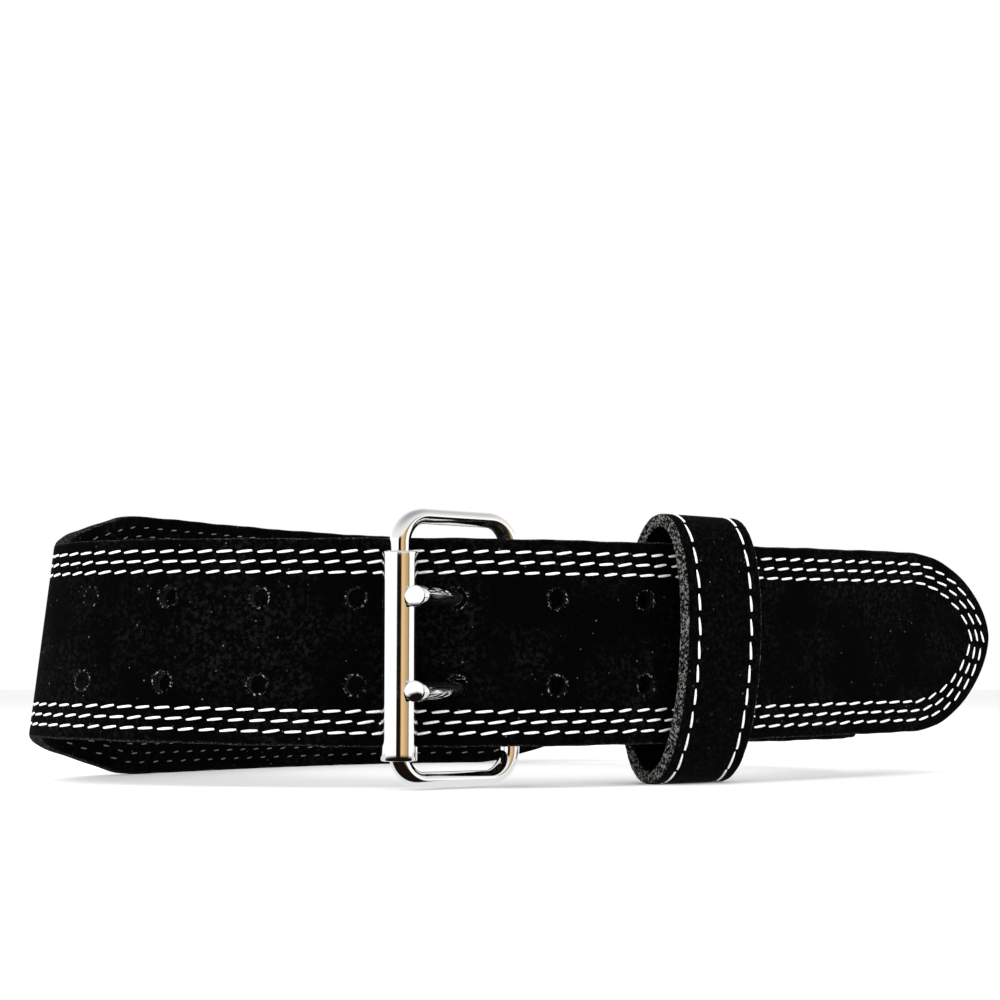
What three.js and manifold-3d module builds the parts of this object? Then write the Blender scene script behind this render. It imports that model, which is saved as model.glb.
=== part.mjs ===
// A buckled weightlifting belt standing on its lower edge.
// Millimetres, +Z up, the buckle faces -Y, the rounded free end points to +X.
import * as THREE from 'three';
import { mergeVertices } from 'three/addons/utils/BufferGeometryUtils.js';
import Module from 'manifold-3d';

const wasm = await Module();
wasm.setup();

// Leather strap
const BACK_HEIGHT = 101.6; // the wide panel behind the waist, four inches
const STRAP_HEIGHT = 70; // the narrow strap in front
const THICKNESS = 5; // two layers of split leather sewn together
const EDGE_ROUND = 1.1; // soft rounding of the cut edges
const RING_WIDTH = 310; // side to side, measured on the middle of the inner layer
const RING_DEPTH = 217; // front to back, measured the same way
const BACK_LENGTH = 192; // full-height stretch of the back panel
const TAPER_LENGTH = 54; // each sloping stretch beside it
const TAPER_CORNER = 6; // its corners are rounded this far to both sides
const BACK_START = 383; // from the buckle's pivot bar to the back panel's near end
const FREE_LENGTH = 226; // from the pivot bar to the rounded tip
const TIP_LENGTH = 48; // the stretch that the tip's rounding takes
const TIP_POINT = 0.6; // 0.5 makes the tip half an ellipse, more is more pointed
const TIP_SKEW = 2.6; // the tip's end lies this much above the strap's middle
const LEAN_DEG = 6; // outward lean of the lower edge at the left bend
const FRONT_SAG = 1.8; // the buckled front hangs this much lower than the back
const TIP_RISE = 3; // the free end climbs this much from there
const STRAIGHT_FROM = 82.5; // from the pivot bar to where the free end goes straight
const RISE_LENGTH = 122; // the outer layer climbs onto the inner one over this stretch
const GAP = 0.3; // between pieces that touch

// Holes for the prongs
const HOLE_DIAMETER = 6.6;
const HOLE_SPREAD = 29.3; // between the two rows
const HOLE_PITCH = 33;
const HOLES_BEHIND = 4; // pairs towards the back
const HOLES_AHEAD = 3; // pairs towards the tip
const HOLE_TO_PIVOT = 20.5; // along the strap, from the buckled pair to the pivot bar

// Buckle
const WIRE_DIAMETER = 7;
const SIDE_BAR_HEIGHT = 5.2; // the wire is pressed flatter between the two bars
const FRAME_HEIGHT = 93; // over the outside
const FRAME_CORNER = 9.5; // bend radius on the wire's middle
const FRAME_REACH = 38.8; // along the strap, from the pivot bar to the roller bar
const FRAME_DROP = 1.8; // the frame hangs this much below the strap's middle
const ROLLER_DIAMETER = 12;
const ROLLER_LENGTH = 69;
const ROLLER_BORE = 9.8;
const ROLLER_DROP = 3; // the loose roller has slid this much down its bar
const PRONG_DIAMETER = 6.4;
const PRONG_DROOPS = [0, 2]; // the lower prong hangs this much at its end
const PRONG_EYE_WALL = 3.6;
const PRONG_OVER = 0.38; // how far its end turns over the roller, in radians
const EYE_CLEARANCE = 0.85; // round the pivot bar inside the folded leather
const SLOT_HEIGHT = 7.2; // prong slot in the fold
const SLOT_LENGTH = 30;
const LAP_LENGTH = 49; // the folded end sewn behind the strap
const LAP_BOND = 0.2; // the sewn layers are pressed into each other this much

// Keeper loop
const KEEPER_WIDTH = 34;
const KEEPER_THICKNESS = 4.8;
const KEEPER_HEIGHT = 94.8; // over the outside
const KEEPER_DEPTH = 38.2;
const KEEPER_SQUARE = 2.15; // 2 is an ellipse, more is squarer
const KEEPER_SLOPE = 0.084; // its top leans outwards, this much for each unit of height
const KEEPER_AT = 69; // from the pivot bar to the loop's middle

// Fineness of the faceted surfaces
const STATION_STEP = 8; // between the strap's cross-sections
const TIP_STEP = 0.15; // between those of the tip, in radians of its rounding
const TIP_BLUNT = 0.06; // the tip's last cross-section is this far short of its end
const FOLD_JOIN = 6; // the strap and its fold share this much of their length
const WIRE_SIDES = 16;
const PRONG_SIDES = 14;
const EYE_SIDES = 28;

// Sizes that follow from those above
const HALF_BACK = BACK_HEIGHT / 2;
const LAYER = THICKNESS + GAP; // from one strap layer's middle to the next
const WIRE_RADIUS = WIRE_DIAMETER / 2;
const ROLLER_RADIUS = ROLLER_DIAMETER / 2;
const PRONG_RADIUS = PRONG_DIAMETER / 2;
const FOLD_RADIUS = WIRE_RADIUS + EYE_CLEARANCE + THICKNESS / 2;
const FOLD_OUTSIDE = FOLD_RADIUS + THICKNESS / 2;
const ROLLER_OUT = LAYER + THICKNESS / 2 + GAP + ROLLER_RADIUS; // roller's middle, outwards
const HOLE_ROWS = [HOLE_SPREAD / 2, -HOLE_SPREAD / 2]; // from the strap's middle
const PRONG_LEVELS = HOLE_ROWS.map((height) => height - FRONT_SAG);

// Middle of the strap's inner layer seen from above, as shares of half the width and half the
// depth, from the pivot bar round the right side, the back and the left side
const RING_PLAN = [
  { across: 0.117, back: -0.955 },
  { across: 0.368, back: -0.808 },
  { across: 0.626, back: -0.568 },
  { across: 0.806, back: -0.34 },
  { across: 0.948, back: -0.082 },
  { across: 1.0, back: 0.203 },
  { across: 0.941, back: 0.498 },
  { across: 0.768, back: 0.765 },
  { across: 0.484, back: 0.94 },
  { across: 0.162, back: 1.0 },
  { across: -0.121, back: 0.931 },
  { across: -0.34, back: 0.751 },
  { across: -0.546, back: 0.484 },
  { across: -0.733, back: 0.157 },
  { across: -0.887, back: -0.146 },
  { across: -0.981, back: -0.377 },
  { across: -0.974, back: -0.579 },
  { across: -0.881, back: -0.75 },
  { across: -0.726, back: -0.892 },
  { across: -0.533, back: -0.963 },
  { across: -0.314, back: -0.992 },
  { across: -0.082, back: -0.997 },
];

const suede = new THREE.MeshStandardMaterial({ color: 0x0b0b0c, roughness: 0.95, metalness: 0 });
const chrome = new THREE.MeshStandardMaterial({ color: 0xd9d9d6, roughness: 0.12, metalness: 1 });

const ring = new THREE.CatmullRomCurve3(
  RING_PLAN.map(({ across, back }) =>
    new THREE.Vector3((across * RING_WIDTH) / 2, (back * RING_DEPTH) / 2, 0)),
  true,
  'centripetal',
);
ring.arcLengthDivisions = 3000;
const RING_LENGTH = ring.getLength();
const LEAVE_AT = RING_LENGTH + STRAIGHT_FROM;
const TIP_AT = RING_LENGTH + FREE_LENGTH;

function smooth(value, from, to) {
  return THREE.MathUtils.smoothstep(value, from, to);
}

// Point beside the ring: along it by a length, outwards from it by an offset
function besideRing(along, outward) {
  const share = (((along / RING_LENGTH) % 1) + 1) % 1;
  const tangent = ring.getTangentAt(share);
  const normal = new THREE.Vector3(tangent.y, -tangent.x, 0);
  return ring.getPointAt(share).addScaledVector(normal, outward);
}

// The outer layer starts on the ring and rises onto the inner layer before the buckle
function layerOffset(along) {
  const end = RING_LENGTH - 3 * FOLD_OUTSIDE;
  return LAYER * smooth(along, end - RISE_LENGTH, end);
}

// Middle of the strap at a length measured from the pivot bar
function strapMiddle(along) {
  if (along <= LEAVE_AT) {
    return besideRing(along, layerOffset(along));
  }
  const leave = besideRing(LEAVE_AT, layerOffset(LEAVE_AT));
  const before = besideRing(LEAVE_AT - 1, layerOffset(LEAVE_AT - 1));
  const heading = leave.clone().sub(before).normalize();
  return leave.addScaledVector(heading, along - LEAVE_AT);
}

function outwardAt(middle, along) {
  const ahead = middle(along + 0.5).sub(middle(along - 0.5)).normalize();
  return new THREE.Vector3(ahead.y, -ahead.x, 0);
}

// Straight rise from 0 to 1 over a taper that starts at a length, with rounded corners
function taperShare(along, start) {
  const area = (length) => {
    const inside = THREE.MathUtils.clamp(length, 0, TAPER_LENGTH);
    return (inside * inside) / (2 * TAPER_LENGTH) + Math.max(0, length - TAPER_LENGTH);
  };
  const [before, after] = [-TAPER_CORNER, TAPER_CORNER].map((shift) => area(along - start + shift));
  return (after - before) / (2 * TAPER_CORNER);
}

function intoTip(along) {
  return THREE.MathUtils.clamp(1 + (along - TIP_AT) / TIP_LENGTH, 0, 1);
}

function strapHalfHeight(along) {
  const rise = taperShare(along, BACK_START - TAPER_LENGTH);
  const fall = taperShare(along, BACK_START + BACK_LENGTH);
  const height = STRAP_HEIGHT + (BACK_HEIGHT - STRAP_HEIGHT) * (rise - fall);
  return (height / 2) * (1 - intoTip(along) ** 2) ** TIP_POINT;
}

// Height of the strap's middle over the back panel's middle
function strapLevel(along) {
  const nearTaper = BACK_START - TAPER_LENGTH;
  const farTaper = BACK_START + BACK_LENGTH + TAPER_LENGTH;
  const nearSide = 1 - smooth(along, nearTaper / 2, nearTaper);
  const farSide = smooth(along, farTaper, RING_LENGTH - FRAME_REACH);
  const climb = TIP_RISE * smooth(along, RING_LENGTH, TIP_AT) + TIP_SKEW * intoTip(along) ** 2;
  return climb - FRONT_SAG * (nearSide + farSide);
}

// The lower edge leans outwards round the left bend only
function strapLean(along) {
  const backEnd = BACK_START + BACK_LENGTH;
  const rise = smooth(along, backEnd, backEnd + TAPER_LENGTH);
  const fall = smooth(along, RING_LENGTH - RISE_LENGTH, RING_LENGTH - FRAME_REACH);
  return THREE.MathUtils.degToRad(LEAN_DEG) * (rise - fall);
}

// Cross-section of a strip: a tall rectangle with softened corners, wound one way
function stripSection(centre, level, outward, halfHeight, lean) {
  const half = THICKNESS / 2;
  const corner = Math.min(EDGE_ROUND, halfHeight * 0.45);
  const outline = [
    [half, halfHeight - corner],
    [half - corner * 0.3, halfHeight - corner * 0.3],
    [half - corner, halfHeight],
  ];
  const points = [];
  const quarters = [[1, 1], [-1, 1], [-1, -1], [1, -1]];
  quarters.forEach(([side, up], index) => {
    const corners = index % 2 === 0 ? outline : [...outline].reverse();
    corners.forEach(([out, high]) => points.push([side * out, up * high]));
  });
  return points.map(([out, high]) => {
    const leanOut = out * Math.cos(lean) - high * Math.sin(lean);
    const leanUp = out * Math.sin(lean) + high * Math.cos(lean);
    return upright(centre.clone().addScaledVector(outward, leanOut), level + leanUp);
  });
}

// Solid through a row of outlines with equal point counts, closed at its ends or round
function loft(outlines, isRound = false) {
  const count = outlines[0].length;
  const positions = outlines.flat().flatMap((point) => [point.x, point.y, point.z]);
  const faces = [];
  const spans = isRound ? outlines.length : outlines.length - 1;
  for (let row = 0; row < spans; row += 1) {
    const next = (row + 1) % outlines.length;
    for (let step = 0; step < count; step += 1) {
      const turn = (step + 1) % count;
      const a = row * count + step;
      const b = row * count + turn;
      const c = next * count + turn;
      const d = next * count + step;
      faces.push(a, b, c, a, c, d);
    }
  }
  if (!isRound) {
    const last = (outlines.length - 1) * count;
    for (let step = 1; step < count - 1; step += 1) {
      faces.push(0, step + 1, step);
      faces.push(last, last + step, last + step + 1);
    }
  }
  const geometry = new THREE.BufferGeometry();
  geometry.setAttribute('position', new THREE.Float32BufferAttribute(positions, 3));
  geometry.setIndex(faces);
  return geometry;
}

function toSolid(geometry) {
  const plain = geometry.clone();
  plain.deleteAttribute('normal');
  plain.deleteAttribute('uv');
  const merged = mergeVertices(plain, 1e-4);
  const mesh = new wasm.Mesh({
    numProp: 3,
    vertProperties: new Float32Array(merged.attributes.position.array),
    triVerts: new Uint32Array(merged.index.array),
  });
  const solid = new wasm.Manifold(mesh);
  return solid.volume() < 0 ? toSolid(flipped(merged)) : solid;
}

function flipped(geometry) {
  const index = Array.from(geometry.index.array);
  for (let start = 0; start < index.length; start += 3) {
    [index[start + 1], index[start + 2]] = [index[start + 2], index[start + 1]];
  }
  const turned = geometry.clone();
  turned.setIndex(index);
  return turned;
}

function toMesh(solid, name, material) {
  const { vertProperties, triVerts, numProp } = solid.getMesh();
  const geometry = new THREE.BufferGeometry();
  geometry.setAttribute('position', new THREE.Float32BufferAttribute(vertProperties, numProp));
  geometry.setIndex(Array.from(triVerts));
  geometry.computeVertexNormals();
  const mesh = new THREE.Mesh(geometry, material);
  mesh.name = name;
  return mesh;
}

function evenSteps(from, to, spacing) {
  const count = Math.ceil((to - from) / spacing);
  return Array.from({ length: count + 1 }, (_, step) => from + ((to - from) * step) / count);
}

// Round rod through points in one plane, which may be flatter in that plane where it runs level
function rod(points, radius, sides, isRound = false, levelShare = 1) {
  const count = points.length;
  const outlines = points.map((point, index) => {
    const after = isRound ? points[(index + 1) % count] : points[Math.min(index + 1, count - 1)];
    const before = isRound ? points[(index - 1 + count) % count] : points[Math.max(index - 1, 0)];
    const ahead = after.clone().sub(before).normalize();
    const side = new THREE.Vector3().crossVectors(ahead, rodUp(points)).normalize();
    const up = new THREE.Vector3().crossVectors(side, ahead);
    const flat = levelShare + (1 - levelShare) * ahead.z * ahead.z;
    return Array.from({ length: sides }, (_, step) => {
      const angle = (2 * Math.PI * step) / sides;
      return point.clone()
        .addScaledVector(side, radius * flat * Math.cos(angle))
        .addScaledVector(up, radius * Math.sin(angle));
    });
  });
  return loft(outlines, isRound);
}

// Normal of the plane that a bent rod lies in
function rodUp(points) {
  const third = Math.floor(points.length / 3);
  const first = points[third].clone().sub(points[0]);
  const second = points[2 * third].clone().sub(points[0]);
  return first.cross(second).normalize();
}

// Places of the buckle's two bars in plan
const pivotBar = besideRing(0, -FOLD_RADIUS);
const rollerBar = besideRing(-FRAME_REACH, ROLLER_OUT);

function upright(point, height) {
  return new THREE.Vector3(point.x, point.y, height);
}

function barrel(point, radius, height, level) {
  const geometry = new THREE.CylinderGeometry(radius, radius, height, EYE_SIDES);
  geometry.rotateX(Math.PI / 2);
  geometry.translate(point.x, point.y, level);
  return toSolid(geometry);
}

// Path of a prong's middle in plan: from its eye, through the buckled hole, over the roller
function prongPath() {
  const reach = ROLLER_RADIUS + GAP + PRONG_RADIUS;
  const hole = besideRing(-HOLE_TO_PIVOT, LAYER);
  const toRoller = rollerBar.clone().sub(hole);
  const spread = Math.asin(reach / toRoller.length());
  const heading = Math.atan2(toRoller.y, toRoller.x) + spread;
  const straight = Math.sqrt(toRoller.lengthSq() - reach * reach);
  const touch = hole.clone()
    .add(new THREE.Vector3(Math.cos(heading), Math.sin(heading), 0).multiplyScalar(straight));
  const from = touch.clone().sub(rollerBar);
  const over = evenSteps(0, PRONG_OVER, 0.12).map((turn) =>
    from.clone().applyAxisAngle(new THREE.Vector3(0, 0, 1), -turn).add(rollerBar));
  const ahead = touch.clone().sub(hole).normalize();
  const inner = hole.clone().addScaledVector(ahead, -THICKNESS / 2);
  const lead = new THREE.QuadraticBezierCurve3(
    pivotBar,
    inner.clone().addScaledVector(ahead, -PRONG_DIAMETER),
    inner,
  );
  const last = over.at(-1).clone().sub(over.at(-2)).normalize();
  const beyond = over.at(-1).clone().addScaledVector(last, PRONG_RADIUS);
  return [...lead.getPoints(12), ...over, beyond];
}

// The path at its height, hanging a little more the further it is from the eye
function prongLine(row) {
  const path = prongPath();
  const reach = path.at(-1).distanceTo(pivotBar);
  return path.map((point) => {
    const droop = (PRONG_DROOPS[row] * point.distanceTo(pivotBar)) / reach;
    return upright(point, PRONG_LEVELS[row] - droop);
  });
}

// The end is cut off at a slant, halfway between across the prong and towards the front
function cutEnd(solid, line) {
  const end = line.at(-2);
  const ahead = line.at(-1).clone().sub(end).normalize();
  const facing = ahead.add(outwardAt(strapMiddle, RING_LENGTH - FRAME_REACH)).normalize();
  facing.negate();
  return solid.trimByPlane([facing.x, facing.y, facing.z], facing.dot(end));
}

function prong(row) {
  const boreRadius = WIRE_RADIUS + GAP;
  const line = prongLine(row);
  const level = PRONG_LEVELS[row];
  const eye = barrel(pivotBar, boreRadius + PRONG_EYE_WALL, PRONG_DIAMETER, level);
  const bore = barrel(pivotBar, boreRadius, PRONG_DIAMETER * 2, level);
  const shaft = cutEnd(toSolid(rod(line, PRONG_RADIUS, PRONG_SIDES)), line);
  return eye.add(shaft).subtract(bore);
}

// The same path a little fatter, for the hole that the prong keeps open
function prongClearance(row) {
  return toSolid(rod(prongLine(row), PRONG_RADIUS + GAP, PRONG_SIDES));
}

function strapStations() {
  const body = evenSteps(FOLD_JOIN, TIP_AT - TIP_LENGTH, STATION_STEP);
  const tip = evenSteps(0, Math.PI / 2 - TIP_BLUNT, TIP_STEP)
    .map((angle) => TIP_AT - TIP_LENGTH + TIP_LENGTH * Math.sin(angle));
  return [...body, ...tip.slice(1)];
}

function strap() {
  return toSolid(loft(strapStations().map((along) =>
    stripSection(
      strapMiddle(along),
      strapLevel(along),
      outwardAt(strapMiddle, along),
      strapHalfHeight(along),
      strapLean(along),
    ))));
}

// The inner end turns round the pivot bar and is sewn flat behind the strap
function fold() {
  const along = besideRing(1, 0).sub(besideRing(0, 0)).normalize();
  const outward = new THREE.Vector3(along.y, -along.x, 0);
  const lead = [besideRing(2 * FOLD_JOIN, 0), besideRing(FOLD_JOIN, 0)];
  const turn = evenSteps(0, Math.PI, Math.PI / 12).map((angle) =>
    pivotBar.clone()
      .addScaledVector(outward, FOLD_RADIUS * Math.cos(angle))
      .addScaledVector(along, -FOLD_RADIUS * Math.sin(angle)));
  const sewn = LAP_BOND - THICKNESS;
  const lap = evenSteps(FOLD_JOIN, LAP_LENGTH, STATION_STEP).map((length) => {
    const closing = smooth(length, 0, LAP_LENGTH / 2);
    return besideRing(length, THREE.MathUtils.lerp(-2 * FOLD_RADIUS, sewn, closing));
  });
  const path = [...lead, ...turn, ...lap];
  const outlines = path.map((point, index) => {
    const after = path[Math.min(index + 1, path.length - 1)];
    const before = path[Math.max(index - 1, 0)];
    const ahead = after.clone().sub(before).normalize();
    const side = new THREE.Vector3(-ahead.y, ahead.x, 0);
    return stripSection(point, -FRONT_SAG, side, STRAP_HEIGHT / 2, 0);
  });
  return toSolid(loft(outlines));
}

// Round hole through the strap at a length along it
function strapHole(along, height) {
  const geometry = new THREE.CylinderGeometry(
    HOLE_DIAMETER / 2, HOLE_DIAMETER / 2, THICKNESS * 2, 16);
  const outward = outwardAt(strapMiddle, along);
  const aim = new THREE.Quaternion().setFromUnitVectors(new THREE.Vector3(0, 1, 0), outward);
  geometry.applyQuaternion(aim);
  const middle = strapMiddle(along);
  geometry.translate(middle.x, middle.y, height);
  return toSolid(geometry);
}

function prongSlot(height) {
  const along = besideRing(1, 0).sub(besideRing(0, 0)).normalize();
  const inner = 2 * FOLD_RADIUS + THICKNESS;
  const outer = THICKNESS / 2 + GAP / 2;
  const geometry = new THREE.BoxGeometry(SLOT_LENGTH, inner + outer, SLOT_HEIGHT);
  geometry.rotateZ(Math.atan2(along.y, along.x));
  const middle = besideRing(0, (outer - inner) / 2);
  geometry.translate(middle.x, middle.y, height);
  return toSolid(geometry);
}

function beltBody() {
  let solid = strap().add(fold());
  for (let place = -HOLES_BEHIND; place <= HOLES_AHEAD; place += 1) {
    const along = RING_LENGTH - HOLE_TO_PIVOT + place * HOLE_PITCH;
    HOLE_ROWS.forEach((height) => {
      solid = solid.subtract(strapHole(along, height + strapLevel(along)));
    });
  }
  PRONG_LEVELS.forEach((height, row) => {
    solid = solid.subtract(prongClearance(row)).subtract(prongSlot(height));
  });
  return toMesh(solid, 'belt_body', suede);
}

// Wire frame: a rounded rectangle in the tilted plane through both bars
function buckleFrame() {
  const across = rollerBar.clone().sub(pivotBar);
  const reach = across.length();
  across.normalize();
  const halfHeight = (FRAME_HEIGHT - SIDE_BAR_HEIGHT) / 2;
  const corners = [
    { far: reach - FRAME_CORNER, high: halfHeight - FRAME_CORNER, start: 0 },
    { far: FRAME_CORNER, high: halfHeight - FRAME_CORNER, start: Math.PI / 2 },
    { far: FRAME_CORNER, high: FRAME_CORNER - halfHeight, start: Math.PI },
    { far: reach - FRAME_CORNER, high: FRAME_CORNER - halfHeight, start: 1.5 * Math.PI },
  ];
  const points = corners.flatMap(({ far, high, start }) =>
    evenSteps(0, Math.PI / 2, Math.PI / 14).map((turn) =>
      upright(
        pivotBar.clone().addScaledVector(across, far + FRAME_CORNER * Math.cos(start + turn)),
        high + FRAME_CORNER * Math.sin(start + turn) - FRONT_SAG - FRAME_DROP,
      )));
  const wire = rod(points, WIRE_RADIUS, WIRE_SIDES, true, SIDE_BAR_HEIGHT / WIRE_DIAMETER);
  return toMesh(toSolid(wire), 'buckle_frame', chrome);
}

function roller() {
  const half = ROLLER_LENGTH / 2;
  const bore = ROLLER_BORE / 2;
  const profile = [
    new THREE.Vector2(bore, -half),
    new THREE.Vector2(ROLLER_RADIUS - 0.4, -half),
    new THREE.Vector2(ROLLER_RADIUS, 0.4 - half),
    new THREE.Vector2(ROLLER_RADIUS, half - 0.4),
    new THREE.Vector2(ROLLER_RADIUS - 0.4, half),
    new THREE.Vector2(bore, half),
    new THREE.Vector2(bore, -half),
  ];
  const geometry = new THREE.LatheGeometry(profile, 32);
  geometry.rotateX(Math.PI / 2);
  geometry.translate(rollerBar.x, rollerBar.y, -FRONT_SAG - FRAME_DROP - ROLLER_DROP);
  return toMesh(toSolid(geometry), 'roller', chrome);
}

// One coordinate of the keeper's bowed outline, for a share between -1 and 1
function bowed(size, share) {
  return size * Math.sign(share) * Math.abs(share) ** (2 / KEEPER_SQUARE);
}

// How far out the leaning keeper's middle lies so that both corners of the strap clear its wall
function keeperOut(middleLevel) {
  const places = [STRAP_HEIGHT / 2, -STRAP_HEIGHT / 2].map((corner) => {
    const level = corner + strapLevel(KEEPER_AT) - middleLevel;
    const share = Math.min(1, Math.abs(level) / (KEEPER_HEIGHT / 2 - KEEPER_THICKNESS));
    const reach = (1 - share ** KEEPER_SQUARE) ** (1 / KEEPER_SQUARE);
    return -(KEEPER_DEPTH / 2 - KEEPER_THICKNESS) * reach - KEEPER_SLOPE * level;
  });
  return LAYER + THICKNESS / 2 + 2 * GAP + Math.max(...places);
}

// Leather loop round both strap layers, bowed because it is stiff and a little too large
function keeperLoop() {
  const outward = outwardAt(strapMiddle, RING_LENGTH + KEEPER_AT);
  const along = new THREE.Vector3(-outward.y, outward.x, 0);
  const middleLevel = KEEPER_HEIGHT / 2 - HALF_BACK;
  const centre = besideRing(KEEPER_AT, keeperOut(middleLevel));
  const wall = KEEPER_THICKNESS / 2;
  const place = (angle) => ({
    out: bowed(KEEPER_DEPTH / 2 - wall, Math.cos(angle)),
    high: bowed(KEEPER_HEIGHT / 2 - wall, Math.sin(angle)),
  });
  const outlines = evenSteps(0, 2 * Math.PI, Math.PI / 30).slice(0, -1).map((angle) => {
    const here = place(angle);
    const ahead = place(angle + 0.02);
    const before = place(angle - 0.02);
    const turn = Math.atan2(ahead.high - before.high, ahead.out - before.out) - Math.PI / 2;
    return keeperSection().map(([wide, thick]) => {
      const high = here.high + thick * Math.sin(turn);
      return upright(
        centre.clone()
          .addScaledVector(along, wide)
          .addScaledVector(outward, here.out + thick * Math.cos(turn) + KEEPER_SLOPE * high),
        middleLevel + high,
      );
    });
  });
  return toMesh(toSolid(loft(outlines, true)), 'keeper_loop', suede);
}

function keeperSection() {
  const half = KEEPER_WIDTH / 2;
  const wall = KEEPER_THICKNESS / 2;
  const corner = EDGE_ROUND * 0.8;
  return [
    [half, wall - corner],
    [half - corner, wall],
    [corner - half, wall],
    [-half, wall - corner],
    [-half, corner - wall],
    [corner - half, -wall],
    [half - corner, -wall],
    [half, corner - wall],
  ];
}

const belt = new THREE.Group();
belt.add(beltBody());
belt.add(buckleFrame());
belt.add(roller());
belt.add(toMesh(prong(0), 'prong_upper', chrome));
belt.add(toMesh(prong(1), 'prong_lower', chrome));
belt.add(keeperLoop());

// The origin is the middle of the footprint, on the surface that the belt stands on
const box = new THREE.Box3().setFromObject(belt);
const footprint = box.getCenter(new THREE.Vector3());
belt.position.set(-footprint.x, -footprint.y, -box.min.z);
const group = new THREE.Group();
group.add(belt);

export default group;
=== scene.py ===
import math

import bmesh
import bpy
import numpy as np
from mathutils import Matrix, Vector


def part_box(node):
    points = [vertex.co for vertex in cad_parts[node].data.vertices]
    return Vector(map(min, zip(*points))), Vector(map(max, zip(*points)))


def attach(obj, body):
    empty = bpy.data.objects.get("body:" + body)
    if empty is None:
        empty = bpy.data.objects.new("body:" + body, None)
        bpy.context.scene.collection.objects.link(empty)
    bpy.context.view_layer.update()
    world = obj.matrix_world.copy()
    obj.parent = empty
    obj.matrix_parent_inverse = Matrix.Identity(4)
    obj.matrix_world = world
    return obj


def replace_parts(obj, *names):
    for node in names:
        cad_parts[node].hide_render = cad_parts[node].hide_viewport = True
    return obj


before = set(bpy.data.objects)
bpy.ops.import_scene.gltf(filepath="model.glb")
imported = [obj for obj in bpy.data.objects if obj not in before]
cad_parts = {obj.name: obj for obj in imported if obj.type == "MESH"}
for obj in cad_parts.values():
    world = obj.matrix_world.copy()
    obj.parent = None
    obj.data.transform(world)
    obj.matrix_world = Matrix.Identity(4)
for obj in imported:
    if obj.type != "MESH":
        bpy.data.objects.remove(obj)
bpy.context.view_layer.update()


# The strap
# One long strip of two black suede splits, glued back to back and cut to shape: a wide back
# panel, two sloping tapers and a narrow strap with a rounded free end. Its inner end is turned
# round the buckle's pivot bar and sewn flat behind the strap.
MM = 0.001
STRAP_HEIGHT = 70 * MM
BACK_HEIGHT = 101.6 * MM
THICKNESS = 5 * MM
LAYER = 5.3 * MM  # one strap layer and the gap to the next
RING_HALF_WIDTH = 155 * MM
RING_HALF_DEPTH = 108.5 * MM
BACK_START = 383 * MM  # along the strap from the pivot bar
BACK_LENGTH = 192 * MM
TAPER_LENGTH = 54 * MM
TAPER_CORNER = 6 * MM
FREE_LENGTH = 226 * MM
TIP_LENGTH = 48 * MM
TIP_POINT = 0.6  # power of the tip's outline: 0.5 is an ellipse, more is more pointed
TIP_SKEW = 2.6 * MM  # the tip's very end is cut this much high
STRAIGHT_FROM = 82.5 * MM  # where the free end stops following the ring
RISE_LENGTH = 122 * MM
FRONT_SAG = 1.8 * MM  # the narrow strap hangs this much under the back panel's middle
TIP_RISE = 3 * MM
LEAN = math.radians(6)
LAP_LENGTH = 49 * MM
LAP_BOND = 0.2 * MM  # the sewn lap is pressed this deep into the strap's back
FOLD_RADIUS = 6.85 * MM  # middle of the leather round the pivot bar
FRAME_REACH = 38.8 * MM  # from the pivot bar back along the ring to the roller's bar
ROLLER_OUT = 14.1 * MM  # from the ring out to the roller's bar
ROUTE_STEP = 0.5 * MM
PAST_TIP = 3 * MM
FOLD_STEPS = 50
EDGE_STEP = 2.6 * MM
TIP_STEPS = 36
CREASE = math.radians(38)  # edges sharper than this are shaded sharp
WELD = 2e-6

# The ring seen from above, as shares of half its width and depth, from the pivot bar round the
# right side, the back and the left side
RING_PLAN = np.array([
    (0.117, -0.955), (0.368, -0.808), (0.626, -0.568), (0.806, -0.340),
    (0.948, -0.082), (1.0, 0.203), (0.941, 0.498), (0.768, 0.765),
    (0.484, 0.940), (0.162, 1.0), (-0.121, 0.931), (-0.340, 0.751),
    (-0.546, 0.484), (-0.733, 0.157), (-0.887, -0.146), (-0.981, -0.377),
    (-0.974, -0.579), (-0.881, -0.750), (-0.726, -0.892), (-0.533, -0.963),
    (-0.314, -0.992), (-0.082, -0.997),
]) * (RING_HALF_WIDTH, RING_HALF_DEPTH)


def bent_ring(plan, steps=300):
    """Dense row of points on the closed curve that a stiff strap takes through the plan."""
    rows = []
    for start in range(len(plan)):
        before, here, after, beyond = (plan[(start + k) % len(plan)] for k in (-1, 0, 1, 2))
        d0, d1, d2 = (np.linalg.norm(b - a) ** 0.5
                      for a, b in ((before, here), (here, after), (after, beyond)))
        leave = ((here - before) / d0 - (after - before) / (d0 + d1) + (after - here) / d1) * d1
        arrive = ((after - here) / d1 - (beyond - here) / (d1 + d2) + (beyond - after) / d2) * d1
        t = np.linspace(0, 1, steps, endpoint=False)[:, None]
        rows.append(here + leave * t + (3 * (after - here) - 2 * leave - arrive) * t**2
                    + (2 * (here - after) + leave + arrive) * t**3)
    return np.concatenate(rows)


ring_points = bent_ring(RING_PLAN)
ring_points = np.vstack([ring_points, ring_points[:1]])
ring_along = np.concatenate([[0], np.cumsum(np.linalg.norm(np.diff(ring_points, axis=0), axis=1))])
RING_LENGTH = ring_along[-1]
TIP_AT = RING_LENGTH + FREE_LENGTH
LEAVE_AT = RING_LENGTH + STRAIGHT_FROM
ring_heading = np.gradient(ring_points, ring_along, axis=0)
ring_heading[0] = ring_heading[-1] = (ring_heading[0] + ring_heading[-1]) / 2


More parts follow.
